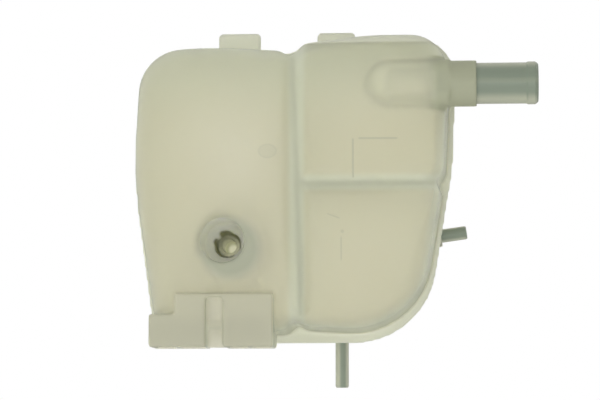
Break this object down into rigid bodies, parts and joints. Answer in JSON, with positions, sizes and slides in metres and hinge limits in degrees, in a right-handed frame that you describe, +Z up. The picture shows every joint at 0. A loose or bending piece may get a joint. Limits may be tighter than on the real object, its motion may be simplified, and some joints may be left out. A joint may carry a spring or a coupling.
{
  "type": "coolant expansion tank",
  "caption": "Welded translucent plastic coolant expansion tank with pillow-like lobes, hose stubs, filler neck, sensor port and ring float.",
  "frame": {"origin": "middle of the foot block's flat lower face", "axes": "+X to the right across the pictured face, +Y from that face to the rear half with the filler neck, +Z up"},
  "size_m": [0.2412, 0.124, 0.215],
  "materials": {
    "milky_plastic": "translucent moulded polypropylene, satin",
    "grey_plastic": "translucent grey polypropylene, satin",
    "float_foam": "foamed polypropylene, matt",
    "magnet": "plastic-bonded ferrite, matt"
  },
  "bodies": {
    "tank": {"front_shell": "milky_plastic", "rear_shell": "milky_plastic", "main_hose_stub": "grey_plastic", "side_vent_nipple": "grey_plastic", "lower_vent_nipple": "grey_plastic"},
    "float": {"level_float": "float_foam", "float_magnet": "magnet"}
  },
  "joints": [
    {"name": "float_slide", "type": "slide", "parent": "tank", "child": "float", "axis": [0, 1, 0], "range_m": [0, 0.013]}
  ]
}
